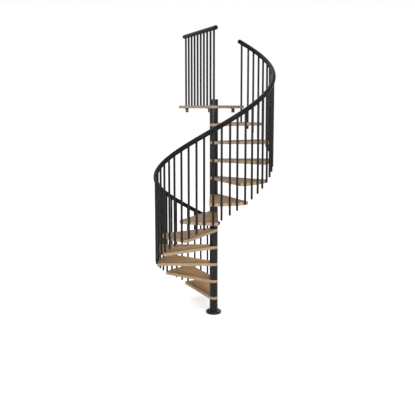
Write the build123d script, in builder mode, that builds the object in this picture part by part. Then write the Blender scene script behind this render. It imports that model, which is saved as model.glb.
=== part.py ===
"""Spiral staircase: timber treads stacked round a steel column, with a round rod railing.

Millimetres. +Z is up and the origin is the centre of the base flange's underside, on the floor.
Angles are counted from +X towards +Y, and the flight climbs with the angle, so the column is on
the left of someone who walks up.
"""
import os
from math import cos, radians, sin, sqrt

from build123d import *

os.makedirs("parts", exist_ok=True)

# Flight
RISE = 230.0
TREADS = 11
STEP_ANGLE = 30.0
FIRST_NOSING_ANGLE = 90.0

# Treads
TREAD_RADIUS = 744.0
TREAD_THICKNESS = 38.0
TREAD_CORNER_ROUND = 14.0
TREAD_EDGE_ROUND = 3.0

# Column
COLUMN_DIAMETER = 109.0
COLUMN_END_BREAK = 1.2
CAP_HEIGHT = 79.0
CAP_TOP_ROUND = 10.0

# Base flange
FLANGE_DIAMETER = 205.0
FLANGE_HEIGHT = 31.0
FLANGE_TOP_ROUND = 13.0
FLANGE_FOOT_ROUND = 9.0
FLANGE_COLLAR_WIDTH = 5.0
FLANGE_COLLAR_HEIGHT = 6.0

# Rods and rails
ROD_DIAMETER = 27.0
ROD_FOOT_ROUND = 4.0
ROD_SEAT_GAP = 0.3
ROD_LEAD_ANGLE = 0.5
ROD_PLACE_SHARES = (0.0, 0.248, 0.499, 0.73)
ROD_FOOT_ABOVE_UNDERSIDE = 10.6
RAIL_DIAMETER = 58.0
RAIL_END_CAP_LENGTH = 22.0
RAIL_END_ROUND = 20.0
RAIL_ABOVE_NOSING = 866.6
RAIL_LOWER_OVERHANG_ANGLE = 4.8
RAIL_UPPER_OVERHANG_ANGLE = 2.6

# Landing
LANDING_EDGE_ANGLE = 115.0
LANDING_EDGE_LENGTH = 1160.0
LANDING_CORNER_ROUND = 30.0
LANDING_FRONT_ROUND = 40.0
LANDING_RAIL_HEIGHT = 989.0
LANDING_RAIL_INSET = 93.0
LANDING_RODS = 10
LANDING_ROD_PITCH = 106.4
LANDING_FIRST_ROD = 83.0
LANDING_RAIL_OVERHANG = 74.0

# Fixing angles under the landing's far edge
BRACKET_WIDTH = 46.0
BRACKET_LEG = 59.0
BRACKET_FOOT = 70.0
BRACKET_THICKNESS = 6.0
BRACKET_HOLE_DIAMETER = 9.0
BRACKET_HOLE_SHARE = 0.6
BRACKET_PLACE_SHARES = (0.155, 0.5, 0.845)

# Worked out from the sizes above
COLUMN_RADIUS = COLUMN_DIAMETER / 2
ROD_RADIUS = ROD_DIAMETER / 2
RAIL_RADIUS = RAIL_DIAMETER / 2
TREAD_EDGE = sqrt(TREAD_RADIUS**2 - COLUMN_RADIUS**2)
ROD_CIRCLE = TREAD_RADIUS + ROD_SEAT_GAP + ROD_RADIUS
LANDING_TOP = (TREADS + 1) * RISE
LANDING_NOSING_ANGLE = FIRST_NOSING_ANGLE + TREADS * STEP_ANGLE
RAIL_CUT_RADIUS = RAIL_RADIUS + ROD_SEAT_GAP


def tread_top(number):
    """Height of the walking face of a tread, counted from 1."""
    return number * RISE


def nosing_angle(number):
    """Direction of the front edge of a tread, counted from 1."""
    return FIRST_NOSING_ANGLE + (number - 1) * STEP_ANGLE


def polar(radius, angle):
    """Point in plan at a radius and an angle."""
    return (radius * cos(radians(angle)), radius * sin(radians(angle)))


def front_edge(angle, along):
    """Point on an edge that leaves the hub's front side in a direction."""
    x, y = polar(COLUMN_RADIUS, angle - 90)
    dx, dy = polar(along, angle)
    return (x + dx, y + dy)


def rear_edge(angle, along):
    """Point on an edge that leaves the hub's rear side in a direction."""
    x, y = polar(COLUMN_RADIUS, angle + 90)
    dx, dy = polar(along, angle)
    return (x + dx, y + dy)


def rod_angle(number, share):
    """Direction of a rod, at a share of the step behind the front edge of a tread."""
    return nosing_angle(number) - ROD_LEAD_ANGLE + share * STEP_ANGLE


def climb(angle):
    """Rise of the flight between the first front edge and a direction."""
    return (angle - FIRST_NOSING_ANGLE) / STEP_ANGLE * RISE


def rod_foot(angle):
    """Height of a rod's lower end, cut off at the floor."""
    return max(0.0, climb(angle) - TREAD_THICKNESS + ROD_FOOT_ABOVE_UNDERSIDE)


def rail_centre(angle):
    """Height of the handrail's centre line."""
    return climb(angle) + RISE + RAIL_ABOVE_NOSING


# Base flange, a thick turned disc with a low collar round the column's foot
with BuildPart() as base_flange:
    with BuildSketch():
        Circle(FLANGE_DIAMETER / 2)
    extrude(amount=FLANGE_HEIGHT)
    fillet(base_flange.edges().group_by(Axis.Z)[-1], FLANGE_TOP_ROUND)
    fillet(base_flange.edges().group_by(Axis.Z)[0], FLANGE_FOOT_ROUND)
    with BuildSketch(Plane.XY.offset(FLANGE_HEIGHT)):
        Circle(COLUMN_RADIUS + FLANGE_COLLAR_WIDTH)
    extrude(amount=FLANGE_COLLAR_HEIGHT, taper=45)
base_flange.part.label = "base_flange"
export_step(base_flange.part, "parts/base_flange.step")

# Column spacers between the treads
for number in range(TREADS + 1):
    lower = tread_top(number) if number else FLANGE_HEIGHT + FLANGE_COLLAR_HEIGHT
    upper = tread_top(number + 1) - TREAD_THICKNESS
    with BuildPart() as spacer:
        with BuildSketch(Plane.XY.offset(lower)):
            Circle(COLUMN_RADIUS)
        extrude(amount=upper - lower)
        chamfer(spacer.edges().filter_by(GeomType.CIRCLE), COLUMN_END_BREAK)
    spacer.part.label = f"column_spacer_{number + 1:02d}"
    export_step(spacer.part, f"parts/{spacer.part.label}.step")

# Column cap above the landing
with BuildPart() as column_cap:
    with BuildSketch(Plane.XY.offset(LANDING_TOP)):
        Circle(COLUMN_RADIUS)
    extrude(amount=CAP_HEIGHT)
    fillet(column_cap.edges().group_by(Axis.Z)[-1], CAP_TOP_ROUND)
column_cap.part.label = "column_cap"
export_step(column_cap.part, "parts/column_cap.step")

# Treads: both long edges are tangent to the round hub, and the outer edge is an arc
for number in range(1, TREADS + 1):
    front = nosing_angle(number)
    rear = front + STEP_ANGLE
    middle = (front + rear) / 2
    with BuildPart() as tread:
        with BuildSketch(Plane.XY.offset(tread_top(number) - TREAD_THICKNESS)):
            with BuildLine():
                outer = ThreePointArc(
                    front_edge(front, TREAD_EDGE),
                    polar(TREAD_RADIUS, middle),
                    rear_edge(rear, TREAD_EDGE),
                )
                hub = ThreePointArc(
                    rear_edge(rear, 0),
                    polar(COLUMN_RADIUS, middle + 180),
                    front_edge(front, 0),
                )
                Line(outer @ 1, hub @ 0)
                Line(hub @ 1, outer @ 0)
            tread_face = make_face()
            corners = tread_face.vertices().sort_by_distance((0, 0))[-2:]
            fillet(corners, TREAD_CORNER_ROUND)
        extrude(amount=TREAD_THICKNESS)
        fillet(tread.faces().sort_by(Axis.Z)[-1].edges(), TREAD_EDGE_ROUND)
    tread.part.label = f"tread_{number:02d}"
    export_step(tread.part, f"parts/{tread.part.label}.step")

# Landing: front edge as on the treads, a straight far edge, and an open edge with its own railing
landing_corner = front_edge(LANDING_NOSING_ANGLE, TREAD_EDGE)
edge_end = rear_edge(LANDING_EDGE_ANGLE, LANDING_EDGE_LENGTH)
with BuildPart() as landing:
    with BuildSketch(Plane.XY.offset(LANDING_TOP - TREAD_THICKNESS)):
        with BuildLine():
            hub = ThreePointArc(
                rear_edge(LANDING_EDGE_ANGLE, 0),
                polar(COLUMN_RADIUS, (LANDING_NOSING_ANGLE - 360 + LANDING_EDGE_ANGLE) / 2 + 180),
                front_edge(LANDING_NOSING_ANGLE, 0),
            )
            Polyline(hub @ 1, landing_corner, edge_end, hub @ 0)
        landing_face = make_face()
        fillet(landing_face.vertices().sort_by_distance(edge_end)[0], LANDING_CORNER_ROUND)
        fillet(landing_face.vertices().sort_by_distance(landing_corner)[0], LANDING_FRONT_ROUND)
    extrude(amount=TREAD_THICKNESS)
    fillet(landing.faces().sort_by(Axis.Z)[-1].edges(), TREAD_EDGE_ROUND)
landing.part.label = "landing"
export_step(landing.part, "parts/landing.step")

# Fixing angles: one leg under the landing, one down the floor slab, with a bolt hole in each
far_x = edge_end[0] - landing_corner[0]
far_y = edge_end[1] - landing_corner[1]
with BuildPart() as landing_brackets:
    for share in BRACKET_PLACE_SHARES:
        corner = Vector(
            landing_corner[0] + share * far_x,
            landing_corner[1] + share * far_y,
            LANDING_TOP - TREAD_THICKNESS,
        )
        section = Plane(origin=corner, x_dir=(-far_y, far_x, 0), z_dir=(far_x, far_y, 0))
        with BuildSketch(section):
            with BuildLine():
                Polyline(
                    (0, 0),
                    (BRACKET_FOOT, 0),
                    (BRACKET_FOOT, -BRACKET_THICKNESS),
                    (BRACKET_THICKNESS, -BRACKET_THICKNESS),
                    (BRACKET_THICKNESS, -BRACKET_LEG),
                    (0, -BRACKET_LEG),
                    close=True,
                )
            make_face()
        extrude(amount=BRACKET_WIDTH / 2, both=True)
        foot_hole = section.from_local_coords((BRACKET_HOLE_SHARE * BRACKET_FOOT, 0, 0))
        with BuildSketch(Plane(origin=foot_hole, z_dir=(0, 0, -1))):
            Circle(BRACKET_HOLE_DIAMETER / 2)
        extrude(amount=BRACKET_THICKNESS, mode=Mode.SUBTRACT)
        leg_hole = section.from_local_coords((0, -BRACKET_HOLE_SHARE * BRACKET_LEG, 0))
        with BuildSketch(Plane(origin=leg_hole, z_dir=section.x_dir)):
            Circle(BRACKET_HOLE_DIAMETER / 2)
        extrude(amount=BRACKET_THICKNESS, mode=Mode.SUBTRACT)
landing_brackets.part.label = "landing_brackets"
export_step(landing_brackets.part, "parts/landing_brackets.step")

# Handrail, a round tube along a helix
rail_start = rod_angle(1, 0) - RAIL_LOWER_OVERHANG_ANGLE
rail_end = rod_angle(TREADS + 1, 0) + RAIL_UPPER_OVERHANG_ANGLE
rail_rise = rail_centre(rail_end) - rail_centre(rail_start)
rail_pitch = 360 / STEP_ANGLE * RISE
rail_path = Rot(0, 0, rail_start) * Helix(
    rail_pitch,
    rail_rise,
    ROD_CIRCLE,
    center=(0, 0, rail_centre(rail_start)),
)
rail_section = Plane(origin=rail_path @ 0, z_dir=rail_path % 0)

with BuildPart() as handrail:
    with BuildSketch(rail_section):
        Circle(RAIL_RADIUS)
    sweep(path=rail_path, is_frenet=True)
    extrude(handrail.faces().filter_by(GeomType.PLANE), amount=RAIL_END_CAP_LENGTH)
    fillet(handrail.faces().filter_by(GeomType.PLANE).edges(), RAIL_END_ROUND)
handrail.part.label = "handrail"
export_step(handrail.part, "parts/handrail.step")

# The handrail's space with the seat gap, which shapes the tops of the rods
with BuildPart() as rail_space:
    with BuildSketch(rail_section):
        Circle(RAIL_CUT_RADIUS)
    sweep(path=rail_path, is_frenet=True)

# Rods of the flight, grouped by the tread whose outer edge they stand against
for number in range(1, TREADS + 2):
    last = number == TREADS + 1
    with BuildPart() as balusters:
        for share in ROD_PLACE_SHARES[:1] if last else ROD_PLACE_SHARES:
            angle = rod_angle(number, share)
            foot = rod_foot(angle)
            x, y = polar(ROD_CIRCLE, angle)
            with BuildSketch(Plane(origin=(x, y, foot), z_dir=(0, 0, 1))):
                Circle(ROD_RADIUS)
            extrude(amount=rail_centre(angle) - foot)
            fillet(balusters.edges(Select.LAST).group_by(Axis.Z)[0], ROD_FOOT_ROUND)
        add(rail_space.part, mode=Mode.SUBTRACT)
    balusters.part.label = "top_baluster" if last else f"balusters_{number:02d}"
    export_step(balusters.part, f"parts/{balusters.part.label}.step")

# Landing railing along the open edge
edge_along = polar(1, LANDING_EDGE_ANGLE)
edge_across = polar(1, LANDING_EDGE_ANGLE - 90)


def on_railing(along):
    """Point under the landing's rail, at a distance along the open edge."""
    x, y = rear_edge(LANDING_EDGE_ANGLE, along)
    return (x + LANDING_RAIL_INSET * edge_across[0], y + LANDING_RAIL_INSET * edge_across[1])


landing_rail_length = (LANDING_RODS - 1) * LANDING_ROD_PITCH + 2 * LANDING_RAIL_OVERHANG
landing_rail_plane = Plane(
    origin=(*on_railing(LANDING_FIRST_ROD - LANDING_RAIL_OVERHANG), LANDING_TOP + LANDING_RAIL_HEIGHT),
    x_dir=(*edge_across, 0),
    z_dir=(*edge_along, 0),
)
with BuildPart() as landing_rail:
    with BuildSketch(landing_rail_plane):
        Circle(RAIL_RADIUS)
    extrude(amount=landing_rail_length)
    fillet(landing_rail.edges().filter_by(GeomType.CIRCLE), RAIL_END_ROUND)
landing_rail.part.label = "landing_rail"
export_step(landing_rail.part, "parts/landing_rail.step")

with BuildPart() as landing_balusters:
    for index in range(LANDING_RODS):
        x, y = on_railing(LANDING_FIRST_ROD + index * LANDING_ROD_PITCH)
        with BuildSketch(Plane(origin=(x, y, LANDING_TOP), z_dir=(0, 0, 1))):
            Circle(ROD_RADIUS)
        extrude(amount=LANDING_RAIL_HEIGHT)
    with BuildSketch(landing_rail_plane):
        Circle(RAIL_CUT_RADIUS)
    extrude(amount=landing_rail_length, mode=Mode.SUBTRACT)
landing_balusters.part.label = "landing_balusters"
export_step(landing_balusters.part, "parts/landing_balusters.step")
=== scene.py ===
"""Looks of the spiral staircase: finishes for the solids, small fasteners, and the studio.

Metres, in the same frame as the solids: +Z is up, and the origin is under the column, on the floor.
Angles are counted from +X towards +Y, and the flight climbs with the angle.
"""

from math import cos, pi, radians, sin, sqrt

import bmesh
import bpy
from mathutils import Matrix, Vector


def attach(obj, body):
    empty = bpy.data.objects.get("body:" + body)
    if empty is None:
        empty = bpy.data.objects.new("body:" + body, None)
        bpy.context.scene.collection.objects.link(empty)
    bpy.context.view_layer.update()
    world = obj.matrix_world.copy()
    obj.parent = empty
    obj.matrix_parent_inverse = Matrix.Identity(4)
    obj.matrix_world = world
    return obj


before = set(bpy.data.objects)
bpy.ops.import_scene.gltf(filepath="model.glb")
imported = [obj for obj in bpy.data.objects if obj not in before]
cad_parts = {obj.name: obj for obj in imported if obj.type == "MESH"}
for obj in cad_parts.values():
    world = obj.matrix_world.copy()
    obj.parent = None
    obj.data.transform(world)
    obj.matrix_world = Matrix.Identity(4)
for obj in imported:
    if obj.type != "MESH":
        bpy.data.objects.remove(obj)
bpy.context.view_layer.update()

# Sizes repeated from the solids
RISE = 0.230
TREADS = 11
STEP_ANGLE = 30.0
FIRST_NOSING_ANGLE = 90.0
TREAD_RADIUS = 0.744
TREAD_THICKNESS = 0.038
COLUMN_RADIUS = 0.0545
ROD_RADIUS = 0.0135
ROD_SEAT_GAP = 0.0003
ROD_LEAD_ANGLE = 0.5
ROD_PLACE_SHARES = (0.0, 0.248, 0.499, 0.73)
ROD_FOOT_ABOVE_UNDERSIDE = 0.0106
LANDING_EDGE_ANGLE = 115.0
LANDING_EDGE_LENGTH = 1.160
LANDING_RAIL_INSET = 0.093
LANDING_RODS = 10
LANDING_ROD_PITCH = 0.1064
LANDING_FIRST_ROD = 0.083
BRACKET_LEG = 0.059
BRACKET_FOOT = 0.070
BRACKET_THICKNESS = 0.006
BRACKET_HOLE_SHARE = 0.6
BRACKET_PLACE_SHARES = (0.155, 0.5, 0.845)

# Worked out from those sizes
ROD_CIRCLE = TREAD_RADIUS + ROD_SEAT_GAP + ROD_RADIUS
TREAD_EDGE = sqrt(TREAD_RADIUS**2 - COLUMN_RADIUS**2)
LANDING_TOP = (TREADS + 1) * RISE
LANDING_NOSING_ANGLE = FIRST_NOSING_ANGLE + TREADS * STEP_ANGLE

UP = (0.0, 0.0, 1.0)
DOWN = (0.0, 0.0, -1.0)

# Small pieces of this script
SCREW_HEAD_RADIUS = 0.0060
SCREW_HEAD_HEIGHT = 0.0034
SCREW_SOCKET_RADIUS = 0.0026
SCREW_SOCKET_DEPTH = 0.0018
SCREW_DOME_ANGLES = (0.35, 0.7, 1.0)
SCREW_SINK = 0.0016
PLUG_RADIUS = 0.0090
PLUG_DOME = 0.0026
PLUG_STEPS = 5
WASHER_PROUD = 0.0008
WASHER_INSET = 0.0032
WASHER_THICKNESS = 0.0024
BOLT_HEAD_RADIUS = 0.0062
BOLT_HEAD_HEIGHT = 0.0050
BOLT_HEAD_BREAK = 0.0009
BOLT_HEAD_SIDES = 6
BOLT_WASHER_RADIUS = 0.0105
BOLT_WASHER_THICKNESS = 0.0016
BOLT_WASHER_RIM_SHARE = 0.7
BOLT_WASHER_FACE_SHARE = 0.93
ROSETTE_RADIUS = 0.0180
ROSETTE_HEIGHT = 0.0035
ROSETTE_BORE_SHARE = 0.9
ROSETTE_RIM_SHARES = ((1.0, 0.0), (1.0, 0.35), (0.94, 0.75), (0.84, 1.0))
ROUND_SEGMENTS = 28
WASHER_SEGMENTS = 64

# Finishes. The oak's colour is graded from warm to a darker grey between the two treads named last
STAVE_LENGTH = 0.46
STAVE_WIDTH = 0.042
STAVE_JOINT = 0.0004
OAK_ARRIS = 0.004
STEEL_ARRIS = 0.0022
ZINC_ARRIS = 0.0008
LAST_WARM_TREAD = 2
FIRST_GREY_TREAD = 6

# Camera, from the photograph's perspective
CAMERA_PLACE = (0.0, -7.2243, 2.7322)
CAMERA_TILT = 0.1105
CAMERA_YAW = 0.0114
CAMERA_LENS = 48.34
CAMERA_SENSOR = 36.0
CAMERA_SHIFT_Y = -0.0919
CAMERA_REACH = 100.0

# Light and floor. The floor glows a little less near the stair, so that its shadow shows
WORLD_LIGHT = 0.51
FLOOR_SIZE = 40.0
FLOOR_CELLS = 4
FLOOR_GLOW_NEAR = 0.64
FLOOR_GLOW_FAR = 0.78
FLOOR_NEAR = 1.5
FLOOR_FAR = 6.5
FLOOR_ALBEDO = 0.62
FLOOR_FLECK = 0.02
# Place, target, width, height and power of each lamp
LAMPS = {
    "key_softbox": ((3.2, -6.0, 4.4), (0.0, 0.0, 1.5), 2.2, 2.2, 262.0),
    "strip_softbox": ((-2.8, -6.9, 3.0), (0.0, 0.0, 2.0), 0.3, 2.6, 195.0),
    "top_softbox": ((-1.9, 1.9, 7.2), (-0.2, 0.0, 1.0), 5.4, 5.4, 250.0),
}


def srgb(red, green, blue):
    """Linear colour for the 8-bit values that a screen shows."""
    shares = (red / 255, green / 255, blue / 255)
    linear = [s / 12.92 if s <= 0.04045 else ((s + 0.055) / 1.055) ** 2.4 for s in shares]
    return (*linear, 1.0)


def grey(level):
    """Neutral colour for an 8-bit value."""
    return srgb(level, level, level)


WHITE = grey(255)
BLACK = grey(0)
OAK_PORE = srgb(110, 78, 46)
OAK_JOINT = srgb(104, 74, 44)
OAK_END_GRAIN = srgb(132, 104, 72)
OAK_WORN = srgb(206, 184, 150)
# Colour multipliers: the oak gets darker and greyer up the flight, its edges cooler, and the
# landing's edges darker
WARM_TINT = srgb(255, 252, 246)
GREY_TINT = srgb(220, 226, 236)
WARM_EDGE_TINT = srgb(252, 248, 236)
GREY_EDGE_TINT = srgb(252, 253, 255)
LANDING_EDGE_TINT = srgb(236, 237, 243)
DUST = srgb(120, 116, 110)
RUBBED_COAT = grey(104)
SCUFFED_SLEEVE = srgb(92, 91, 89)
RUBBED_ZINC = srgb(196, 196, 194)


# Materials


class Graph:
    """A material's node tree with short calls for the nodes that the finishes share."""

    def __init__(self, name):
        self.material = bpy.data.materials.new(name)
        self.material.use_nodes = True
        self.tree = self.material.node_tree
        self.shader = self.tree.nodes["Principled BSDF"]

    def add(self, kind, inputs=(), **settings):
        """Adds a node. An input is a plain value, or the socket that feeds it."""
        node = self.tree.nodes.new(kind)
        for key, value in settings.items():
            setattr(node, key, value)
        for key, value in dict(inputs).items():
            self.feed(node, key, value)
        return node

    def feed(self, node, key, value):
        """Links a socket to a node's input, or sets the input to a plain value."""
        if isinstance(value, bpy.types.NodeSocket):
            self.tree.links.new(value, node.inputs[key])
        else:
            node.inputs[key].default_value = value

    def noise(self, place, scale, detail=4.0, roughness=0.55, distortion=0.0):
        inputs = {
            "Vector": place,
            "Scale": scale,
            "Detail": detail,
            "Roughness": roughness,
            "Distortion": distortion,
        }
        return self.add("ShaderNodeTexNoise", inputs).outputs["Fac"]

    def ramp(self, value, stops):
        """Colour ramp through (place, colour) stops."""
        node = self.add("ShaderNodeValToRGB", {"Fac": value})
        elements = node.color_ramp.elements
        while len(elements) < len(stops):
            elements.new(0.5)
        for element, (place, colour) in zip(elements, stops):
            element.position = place
            element.color = colour
        return node.outputs["Color"]

    def remap(self, value, low, high, new_low=0.0, new_high=1.0):
        inputs = {
            "Value": value,
            "From Min": low,
            "From Max": high,
            "To Min": new_low,
            "To Max": new_high,
        }
        return self.add("ShaderNodeMapRange", inputs).outputs["Result"]

    def spread(self, noise, low=0.0, high=1.0):
        """Noise, which mostly keeps between 0.3 and 0.7, spread over a range."""
        return self.remap(noise, 0.3, 0.7, low, high)

    def math(self, operation, first, second=0.0):
        return self.add("ShaderNodeMath", {0: first, 1: second}, operation=operation).outputs[0]

    def times(self, first, second):
        return self.math("MULTIPLY", first, second)

    def blend(self, *weighted):
        """Weighted sum of (value, weight) pairs."""
        (value, weight), *others = weighted
        total = self.times(value, weight)
        for value, weight in others:
            total = self.math("ADD", total, self.times(value, weight))
        return total

    def mix(self, share, first, second, blend="MIX"):
        """Mixes two colours, which a Mix node takes at inputs 6 and 7 and gives at output 2."""
        node = self.add("ShaderNodeMix", data_type="RGBA", blend_type=blend)
        self.feed(node, 0, share)
        self.feed(node, 6, first)
        self.feed(node, 7, second)
        return node.outputs[2]

    def place(self, turn=0.0, shift=(0.0, 0.0, 0.0)):
        """Object coordinates, turned about Z so that X runs along the given angle."""
        coordinates = self.add("ShaderNodeTexCoord").outputs["Object"]
        inputs = {"Vector": coordinates, "Rotation": (0.0, 0.0, -radians(turn)), "Location": shift}
        return self.add("ShaderNodeMapping", inputs).outputs["Vector"]

    def scaled(self, vector, scale):
        inputs = {0: vector, 1: scale}
        return self.add("ShaderNodeVectorMath", inputs, operation="MULTIPLY").outputs[0]

    def facing(self, direction):
        """Cosine between the surface normal and a direction."""
        normal = self.add("ShaderNodeNewGeometry").outputs["Normal"]
        inputs = {0: normal, 1: direction}
        return self.add("ShaderNodeVectorMath", inputs, operation="DOT_PRODUCT").outputs["Value"]

    def arrises(self, width):
        """1 on arrises within the width, 0 on open faces."""
        rounded = self.add("ShaderNodeBevel", {"Radius": width}, samples=6).outputs["Normal"]
        alike = self.facing(rounded)
        return self.remap(alike, 0.70, 0.99, 1.0, 0.0)

    def bump(self, height, strength, distance, below=None):
        inputs = {"Height": height, "Strength": strength, "Distance": distance}
        if below is not None:
            inputs["Normal"] = below
        return self.add("ShaderNodeBump", inputs).outputs["Normal"]

    def finish(self, **sockets):
        """Feeds the shader, with spaces in socket names written as underscores."""
        for key, value in sockets.items():
            self.feed(self.shader, key.replace("_", " "), value)
        return self.material


def oak(name, grain_angle, seed, tint, edge_tint):
    """Oiled oak board glued from staves, with its grain along an angle in plan."""
    graph = Graph(name)
    board = graph.place(grain_angle, (seed * 0.731, seed * 0.417, seed * 0.263))

    staves = graph.add(
        "ShaderNodeTexBrick",
        {
            "Vector": board,
            "Color1": BLACK,
            "Color2": WHITE,
            "Mortar": (0.5, 0.5, 0.5, 1.0),
            "Scale": 1.0,
            "Mortar Size": STAVE_JOINT,
            "Mortar Smooth": 0.6,
            "Brick Width": STAVE_LENGTH,
            "Row Height": STAVE_WIDTH,
        },
        offset=0.37,
        offset_frequency=2,
    )
    stave_tone = staves.outputs["Color"]
    joint = staves.outputs["Fac"]
    stave_shift = graph.scaled(stave_tone, (3.1, 1.7, 2.3))
    own = graph.add("ShaderNodeVectorMath", {0: board, 1: stave_shift}, operation="ADD").outputs[0]

    # Growth rings, drawn-out clouds, fibres and pores, each stave with its own stretch of them
    rings = graph.add(
        "ShaderNodeTexWave",
        {
            "Vector": graph.scaled(own, (0.10, 1.0, 1.0)),
            "Scale": 34.0,
            "Distortion": 7.0,
            "Detail": 2.5,
            "Detail Scale": 1.4,
            "Detail Roughness": 0.6,
        },
        wave_type="BANDS",
        bands_direction="Y",
    ).outputs["Fac"]
    cloud = graph.noise(graph.scaled(own, (1.6, 9.0, 9.0)), 1.0, 4.0, 0.6, 0.4)
    fibre = graph.noise(graph.scaled(own, (5.0, 150.0, 150.0)), 1.0, 5.0, 0.65)
    pores = graph.noise(graph.scaled(own, (16.0, 620.0, 620.0)), 1.0, 2.0, 0.5)
    pore_mask = graph.remap(pores, 0.60, 0.72)

    figure = graph.blend((rings, 0.25), (fibre, 0.45), (cloud, 0.30))
    colour = graph.ramp(
        figure,
        [
            (0.28, srgb(140, 103, 64)),
            (0.46, srgb(169, 133, 89)),
            (0.60, srgb(185, 150, 105)),
            (0.76, srgb(202, 170, 125)),
        ],
    )
    tone = graph.ramp(stave_tone, [(0.0, srgb(222, 214, 204)), (1.0, WHITE)])
    colour = graph.mix(1.0, colour, tone, "MULTIPLY")
    # Multiplied by a tint that makes the oak darker and greyer up the flight
    colour = graph.mix(1.0, colour, tint, "MULTIPLY")

    # Upright edges are paler: partly the sawn edge's own greyer colour, partly painted light for
    # the frontal lamp on them. Cross-cut ends show rings and open pores
    upright = graph.remap(graph.math("ABSOLUTE", graph.facing(UP)), 0.2, 0.8, 1.0, 0.0)
    edge_colour = graph.ramp(fibre, [(0.3, srgb(178, 159, 137)), (0.7, srgb(205, 188, 168))])
    edge_colour = graph.mix(1.0, edge_colour, edge_tint, "MULTIPLY")
    colour = graph.mix(graph.times(upright, 0.60), colour, edge_colour)
    grain_way = (cos(radians(grain_angle)), sin(radians(grain_angle)), 0.0)
    cross_cut = graph.remap(graph.math("ABSOLUTE", graph.facing(grain_way)), 0.55, 0.85)
    end_pores = graph.noise(graph.scaled(own, (0.0, 420.0, 420.0)), 1.0, 3.0, 0.6)
    end_mask = graph.times(cross_cut, graph.remap(end_pores, 0.45, 0.65, 0.0, 0.45))
    colour = graph.mix(end_mask, colour, OAK_END_GRAIN)

    colour = graph.mix(graph.times(pore_mask, 0.42), colour, OAK_PORE)
    colour = graph.mix(graph.times(joint, 0.45), colour, OAK_JOINT)
    worn = graph.times(graph.arrises(OAK_ARRIS), graph.remap(cloud, 0.35, 0.7, 0.2, 1.0))
    colour = graph.mix(graph.times(worn, 0.35), colour, OAK_WORN)

    gloss = graph.spread(fibre, 0.46, 0.60)
    grain_bump = graph.bump(fibre, 0.25, 0.0004)
    normal = graph.bump(graph.times(pore_mask, -1.0), 0.35, 0.0005, grain_bump)
    return graph.finish(
        Base_Color=colour,
        Roughness=gloss,
        Normal=normal,
        Specular_IOR_Level=0.14,
    )


def powder_coat(name, level, rough, grain, shine):
    """Dark powder-coated steel: orange peel, uneven sheen, dust on top and rubbed arrises."""
    graph = Graph(name)
    here = graph.place()
    mottle = graph.noise(here, 26.0, 5.0, 0.6)
    peel = graph.noise(here, grain, 2.0, 0.5)
    base = graph.mix(graph.spread(mottle), grey(0.8 * level), grey(1.1 * level))
    lying = graph.remap(graph.facing(UP), 0.55, 1.0)
    dust = graph.times(lying, graph.spread(mottle, 0.04, 0.16))
    base = graph.mix(dust, base, DUST)
    rubbed = graph.times(graph.arrises(STEEL_ARRIS), graph.remap(mottle, 0.42, 0.66, 0.05, 0.45))
    base = graph.mix(rubbed, base, RUBBED_COAT)
    uneven = graph.blend((mottle, 0.7), (peel, 0.3))
    sheen = graph.spread(uneven, rough - 0.04, rough + 0.05)
    return graph.finish(
        Base_Color=base,
        Roughness=sheen,
        Normal=graph.bump(peel, 0.05, 0.0003),
        Specular_IOR_Level=shine,
    )


def rail_sleeve(name):
    """Matte black sleeve of the rails: fine pebbled grain, faint scuffs and hand polish on top."""
    graph = Graph(name)
    here = graph.place()
    pebble = graph.add("ShaderNodeTexVoronoi", {"Vector": here, "Scale": 900.0}).outputs["Distance"]
    mottle = graph.noise(here, 18.0, 5.0, 0.6)
    streaks = graph.noise(graph.scaled(here, (1.0, 1.0, 6.0)), 60.0, 6.0, 0.7, 0.6)
    scuffs = graph.remap(streaks, 0.62, 0.74)
    base = graph.mix(graph.spread(mottle), grey(26), grey(34))
    base = graph.mix(graph.times(scuffs, 0.12), base, SCUFFED_SLEEVE)
    lying = graph.remap(graph.facing(UP), 0.2, 0.9)
    polished = graph.times(lying, graph.spread(mottle, 0.04, 0.10))
    sheen = graph.math("SUBTRACT", graph.spread(mottle, 0.24, 0.32), polished)
    return graph.finish(
        Base_Color=base,
        Roughness=sheen,
        Normal=graph.bump(pebble, 0.10, 0.0002),
        Specular_IOR_Level=0.03,
    )


def zinc(name):
    """Zinc-plated steel with a spangled, slightly streaked sheen."""
    graph = Graph(name)
    here = graph.place()
    spangle = graph.noise(here, 420.0, 3.0, 0.6)
    streak = graph.noise(graph.scaled(here, (1.0, 1.0, 0.15)), 900.0, 3.0, 0.5)
    base = graph.ramp(spangle, [(0.3, srgb(118, 120, 123)), (0.7, srgb(164, 166, 168))])
    base = graph.mix(graph.times(graph.arrises(ZINC_ARRIS), 0.5), base, RUBBED_ZINC)
    return graph.finish(
        Base_Color=base,
        Metallic=1.0,
        Roughness=graph.spread(spangle, 0.30, 0.46),
        Normal=graph.bump(streak, 0.12, 0.0002),
    )


steel_finish = powder_coat("coated_steel", 9, 0.28, 820.0, 0.26)
rod_finish = powder_coat("coated_rod", 14, 0.30, 1100.0, 0.20)
rubber_finish = powder_coat("washer_rubber", 28, 0.66, 640.0, 0.18)
screw_finish = powder_coat("black_screw", 24, 0.34, 1500.0, 0.26)
rail_finish = rail_sleeve("rail_sleeve")
zinc_finish = zinc("zinc_plate")


def between(first, second, share):
    """Colour at a share of the way from one colour to another."""
    return [low + share * (high - low) for low, high in zip(first, second)]


def dress(node_name, material):
    """Gives a solid its finish."""
    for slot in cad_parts[node_name].material_slots:
        slot.material = material


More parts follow.
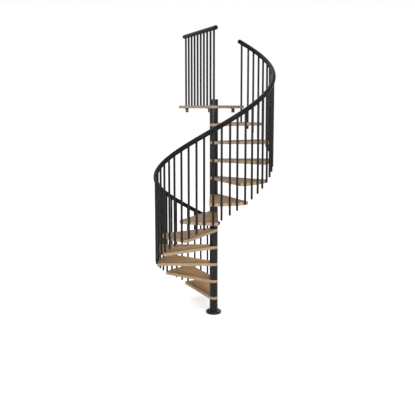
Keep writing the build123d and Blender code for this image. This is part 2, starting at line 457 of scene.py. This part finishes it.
for node_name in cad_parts:
    if "baluster" in node_name:
        dress(node_name, rod_finish)
    elif node_name in ("handrail", "landing_rail"):
        dress(node_name, rail_finish)
    elif not node_name.startswith("tread") and node_name != "landing":
        dress(node_name, steel_finish)
# Oak for the treads, tinted darker and greyer up the flight
for number in range(1, TREADS + 1):
    middle = FIRST_NOSING_ANGLE + (number - 0.5) * STEP_ANGLE
    greyed = (number - LAST_WARM_TREAD) / (FIRST_GREY_TREAD - LAST_WARM_TREAD)
    greyed = min(max(greyed, 0.0), 1.0)
    tint = between(WARM_TINT, GREY_TINT, greyed)
    edge_tint = between(WARM_EDGE_TINT, GREY_EDGE_TINT, greyed)
    dress(f"tread_{number:02d}", oak(f"oak_tread_{number:02d}", middle, number, tint, edge_tint))
landing_oak = oak("oak_landing", LANDING_EDGE_ANGLE, TREADS + 1, GREY_TINT, LANDING_EDGE_TINT)
dress("landing", landing_oak)


# Small pieces


def polar(radius, angle, height=0.0):
    """Point at a radius, an angle in degrees and a height."""
    return Vector((radius * cos(radians(angle)), radius * sin(radians(angle)), height))


def frame_at(place, out):
    """Matrix whose Z axis points along a direction."""
    return Matrix.Translation(place) @ Vector(out).to_track_quat("Z", "Y").to_matrix().to_4x4()


def turned(mesh, profile, matrix, segments=ROUND_SEGMENTS, smooth=True):
    """Adds a turned body to a mesh, from (radius, height) points.

    A radius of 0 closes an end in a point.
    """
    rows = []
    for radius, height in profile:
        row = []
        for index in range(segments if radius > 0 else 1):
            angle = 2 * pi * index / segments
            corner = Vector((radius * cos(angle), radius * sin(angle), height))
            row.append(mesh.verts.new(matrix @ corner))
        rows.append(row)
    for lower, upper in zip(rows, rows[1:]):
        for index in range(segments):
            corners = [
                lower[index % len(lower)],
                lower[(index + 1) % len(lower)],
                upper[(index + 1) % len(upper)],
                upper[index % len(upper)],
            ]
            mesh.faces.new(list(dict.fromkeys(corners))).smooth = smooth


def piece(name, mesh, material):
    """Turns a mesh into a piece that rides on the stair."""
    bmesh.ops.recalc_face_normals(mesh, faces=mesh.faces)
    data = bpy.data.meshes.new(name)
    mesh.to_mesh(data)
    mesh.free()
    data.materials.append(material)
    thing = bpy.data.objects.new(name, data)
    bpy.context.scene.collection.objects.link(thing)
    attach(thing, "root")


def button_head(mesh, matrix):
    """Socket screw with a domed head, its underside at height 0."""
    dome = [(SCREW_HEAD_RADIUS * cos(a), SCREW_HEAD_HEIGHT * sin(a)) for a in SCREW_DOME_ANGLES]
    floor = SCREW_HEAD_HEIGHT - SCREW_SOCKET_DEPTH
    profile = [
        (0.0, 0.0),
        (SCREW_HEAD_RADIUS, 0.0),
        *dome,
        (SCREW_SOCKET_RADIUS, SCREW_HEAD_HEIGHT),
        (SCREW_SOCKET_RADIUS, floor),
        (0.0, floor),
    ]
    turned(mesh, profile, matrix)


def hexagon_bolt(mesh, matrix):
    """Hexagon head on a round washer, the washer's underside at height 0."""
    seat = BOLT_WASHER_THICKNESS
    washer = [
        (0.0, 0.0),
        (BOLT_WASHER_RADIUS, 0.0),
        (BOLT_WASHER_RADIUS, BOLT_WASHER_RIM_SHARE * seat),
        (BOLT_WASHER_FACE_SHARE * BOLT_WASHER_RADIUS, seat),
        (0.0, seat),
    ]
    turned(mesh, washer, matrix)
    crown = seat + BOLT_HEAD_HEIGHT
    head = [
        (0.0, seat),
        (BOLT_HEAD_RADIUS, seat),
        (BOLT_HEAD_RADIUS, crown - BOLT_HEAD_BREAK),
        (BOLT_HEAD_RADIUS - BOLT_HEAD_BREAK, crown),
        (0.0, crown),
    ]
    turned(mesh, head, matrix, BOLT_HEAD_SIDES, False)


# Angle, height of the lower end and treads behind each rod of the flight
rod_places = []
for number in range(1, TREADS + 2):
    shares = ROD_PLACE_SHARES if number <= TREADS else ROD_PLACE_SHARES[:1]
    for share in shares:
        steps = number - 1 + share - ROD_LEAD_ANGLE / STEP_ANGLE
        foot = steps * RISE - TREAD_THICKNESS + ROD_FOOT_ABOVE_UNDERSIDE
        behind = [number] if share else [number - 1, number]
        rod_places.append((FIRST_NOSING_ANGLE + steps * STEP_ANGLE, max(0.0, foot), behind))

# One screw through each rod into the tread behind it, and a second where a rod joins two treads
screws = bmesh.new()
for angle, _, behind in rod_places:
    for tread in behind:
        if 0 < tread <= TREADS:
            height = tread * RISE - TREAD_THICKNESS / 2
            place = polar(ROD_CIRCLE + ROD_RADIUS - SCREW_SINK, angle, height)
            button_head(screws, frame_at(place, polar(1.0, angle)))
piece("rod_screws", screws, screw_finish)

# Domed plugs in the lower ends of the rods
plugs = bmesh.new()
plug_angles = [index * pi / 2 / PLUG_STEPS for index in range(PLUG_STEPS)]
plug_profile = [(PLUG_RADIUS * cos(a), PLUG_DOME * sin(a)) for a in plug_angles]
plug_profile.append((0.0, PLUG_DOME))
for angle, foot, _ in rod_places:
    if foot > PLUG_DOME:
        matrix = frame_at(polar(ROD_CIRCLE, angle, foot), DOWN)
        turned(plugs, plug_profile, matrix)
piece("rod_plugs", plugs, rubber_finish)

# Rubber washers above and below every hub in the column
washers = bmesh.new()
outer = COLUMN_RADIUS + WASHER_PROUD
inner = COLUMN_RADIUS - WASHER_INSET
half = WASHER_THICKNESS / 2
soft = half / 2
washer_profile = [
    (inner, -half),
    (outer - soft, -half),
    (outer, -half + soft),
    (outer, half - soft),
    (outer - soft, half),
    (inner, half),
    (inner, -half),
]
for number in range(1, TREADS + 2):
    for face in (number * RISE, number * RISE - TREAD_THICKNESS):
        turned(washers, washer_profile, Matrix.Translation((0.0, 0.0, face)), WASHER_SEGMENTS)
piece("hub_washers", washers, rubber_finish)

# Rosettes round the feet of the landing's rods
edge_start = polar(COLUMN_RADIUS, LANDING_EDGE_ANGLE + 90)
edge_along = polar(1.0, LANDING_EDGE_ANGLE)
edge_across = polar(1.0, LANDING_EDGE_ANGLE - 90)
rosettes = bmesh.new()
rosette_bore = ROSETTE_BORE_SHARE * ROD_RADIUS
rosette_rim = [(out * ROSETTE_RADIUS, up * ROSETTE_HEIGHT) for out, up in ROSETTE_RIM_SHARES]
rosette_profile = [(rosette_bore, 0.0), *rosette_rim, (rosette_bore, ROSETTE_HEIGHT)]
for index in range(LANDING_RODS):
    along = LANDING_FIRST_ROD + index * LANDING_ROD_PITCH
    foot = edge_start + LANDING_RAIL_INSET * edge_across + along * edge_along
    foot.z = LANDING_TOP
    turned(rosettes, rosette_profile, Matrix.Translation(foot))
piece("landing_rosettes", rosettes, rod_finish)

# Hexagon bolts with washers in the fixing angles
nosing_start = polar(COLUMN_RADIUS, LANDING_NOSING_ANGLE - 90)
landing_corner = nosing_start + polar(TREAD_EDGE, LANDING_NOSING_ANGLE)
far_edge = edge_start + LANDING_EDGE_LENGTH * edge_along - landing_corner
inward = Vector((-far_edge.y, far_edge.x, 0.0)).normalized()
down = Vector(DOWN)
bolts = bmesh.new()
for share in BRACKET_PLACE_SHARES:
    corner = landing_corner + share * far_edge
    corner.z = LANDING_TOP - TREAD_THICKNESS
    leg_seat = corner + BRACKET_THICKNESS * inward + BRACKET_HOLE_SHARE * BRACKET_LEG * down
    foot_seat = corner + BRACKET_HOLE_SHARE * BRACKET_FOOT * inward + BRACKET_THICKNESS * down
    hexagon_bolt(bolts, frame_at(leg_seat, inward))
    hexagon_bolt(bolts, frame_at(foot_seat, down))
piece("bracket_bolts", bolts, zinc_finish)


# Studio


def seen_directly(tree):
    """1 for camera, glossy and transmission rays."""
    path = tree.nodes.new("ShaderNodeLightPath")
    either = tree.nodes.new("ShaderNodeMath")
    either.operation = "MAXIMUM"
    tree.links.new(path.outputs["Is Camera Ray"], either.inputs[0])
    tree.links.new(path.outputs["Is Glossy Ray"], either.inputs[1])
    any_of = tree.nodes.new("ShaderNodeMath")
    any_of.operation = "MAXIMUM"
    tree.links.new(either.outputs[0], any_of.inputs[0])
    tree.links.new(path.outputs["Is Transmission Ray"], any_of.inputs[1])
    return any_of.outputs[0]


world = bpy.data.worlds.new("studio")
bpy.context.scene.world = world
world.use_nodes = True
sky = world.node_tree
background = sky.nodes["Background"]
background.inputs["Color"].default_value = WHITE
level = sky.nodes.new("ShaderNodeMapRange")
level.inputs["To Min"].default_value = WORLD_LIGHT
level.inputs["To Max"].default_value = 1.0
sky.links.new(seen_directly(sky), level.inputs["Value"])
sky.links.new(level.outputs["Result"], background.inputs["Strength"])

floor_mesh = bmesh.new()
bmesh.ops.create_grid(floor_mesh, x_segments=FLOOR_CELLS, y_segments=FLOOR_CELLS, size=FLOOR_SIZE)
floor_data = bpy.data.meshes.new("studio_floor")
floor_mesh.to_mesh(floor_data)
floor_mesh.free()
floor = bpy.data.objects.new("studio_floor", floor_data)
bpy.context.scene.collection.objects.link(floor)
paper = Graph("floor_paper")
fleck = paper.noise(paper.place(), 55.0, 4.0)
darker = (FLOOR_ALBEDO - FLOOR_FLECK,) * 3 + (1.0,)
paler = (FLOOR_ALBEDO,) * 3 + (1.0,)
paper_colour = paper.ramp(fleck, [(0.3, darker), (0.7, paler)])
reach = paper.add("ShaderNodeVectorMath", {0: paper.place()}, operation="LENGTH").outputs["Value"]
glow_there = paper.remap(reach, FLOOR_NEAR, FLOOR_FAR, FLOOR_GLOW_NEAR, FLOOR_GLOW_FAR)
glow = paper.times(seen_directly(paper.tree), glow_there)
paper.finish(
    Base_Color=paper_colour,
    Roughness=0.9,
    Specular_IOR_Level=0.0,
    Emission_Color=WHITE,
    Emission_Strength=glow,
)
floor_data.materials.append(paper.material)

for name, (place, target, width, height, power) in LAMPS.items():
    lamp = bpy.data.lights.new(name, "AREA")
    lamp.shape = "RECTANGLE"
    lamp.size = width
    lamp.size_y = height
    lamp.energy = power
    stand = bpy.data.objects.new(name, lamp)
    bpy.context.scene.collection.objects.link(stand)
    stand.location = place
    stand.rotation_euler = (Vector(target) - Vector(place)).to_track_quat("-Z", "Y").to_euler()

camera_data = bpy.data.cameras.new("photo_camera")
camera_data.lens = CAMERA_LENS
camera_data.sensor_width = CAMERA_SENSOR
camera_data.sensor_fit = "HORIZONTAL"
camera_data.shift_y = CAMERA_SHIFT_Y
camera_data.clip_end = CAMERA_REACH
camera = bpy.data.objects.new("photo_camera", camera_data)
camera.location = CAMERA_PLACE
camera.rotation_euler = (pi / 2 - CAMERA_TILT, 0.0, CAMERA_YAW)
bpy.context.scene.collection.objects.link(camera)
bpy.context.scene.camera = camera
bpy.context.scene.view_settings.view_transform = "Standard"
